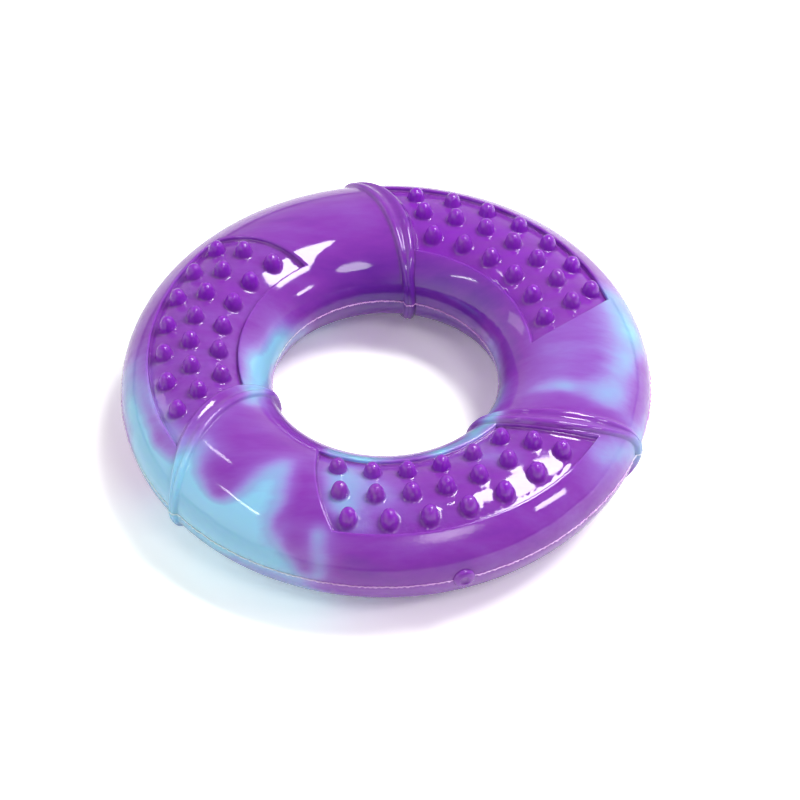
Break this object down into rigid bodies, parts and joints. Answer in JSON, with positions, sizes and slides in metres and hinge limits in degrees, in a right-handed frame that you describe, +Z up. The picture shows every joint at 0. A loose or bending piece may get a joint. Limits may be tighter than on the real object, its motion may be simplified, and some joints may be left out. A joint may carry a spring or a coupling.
{
  "type": "rubber chew ring",
  "caption": "Marbled rubber dog chew ring: a fat oval-section ring in two half shells, with slanted double ribs and sunk panels of soft studs on both faces.",
  "frame": {"origin": "on the surface the ring lies on, straight below the ring's centre", "axes": "+Z up along the ring's axis; +X to the right and +Y away from the viewer of the picture, the free end of the right-hand panel lying just above +X"},
  "size_m": [0.1408, 0.1408, 0.0351],
  "materials": {
    "marbled_rubber": "glossy, marbled purple and pale blue",
    "pad_rubber": "glossy, with deep purple studs",
    "seam_rubber": "glossy, pale squeezed-out bead",
    "plug_rubber": "glossy",
    "core_foam": "matt closed-cell foam"
  },
  "bodies": {
    "root": {"upper_shell": "marbled_rubber", "lower_shell": "marbled_rubber", "foam_core": "core_foam", "outer_seam_bead": "seam_rubber", "inner_seam_bead": "seam_rubber", "vent_plug": "plug_rubber", "upper_pad_right": "pad_rubber", "upper_pad_left": "pad_rubber", "upper_pad_front": "pad_rubber", "lower_pad_right": "pad_rubber", "lower_pad_left": "pad_rubber", "lower_pad_front": "pad_rubber"}
  },
  "joints": []
}
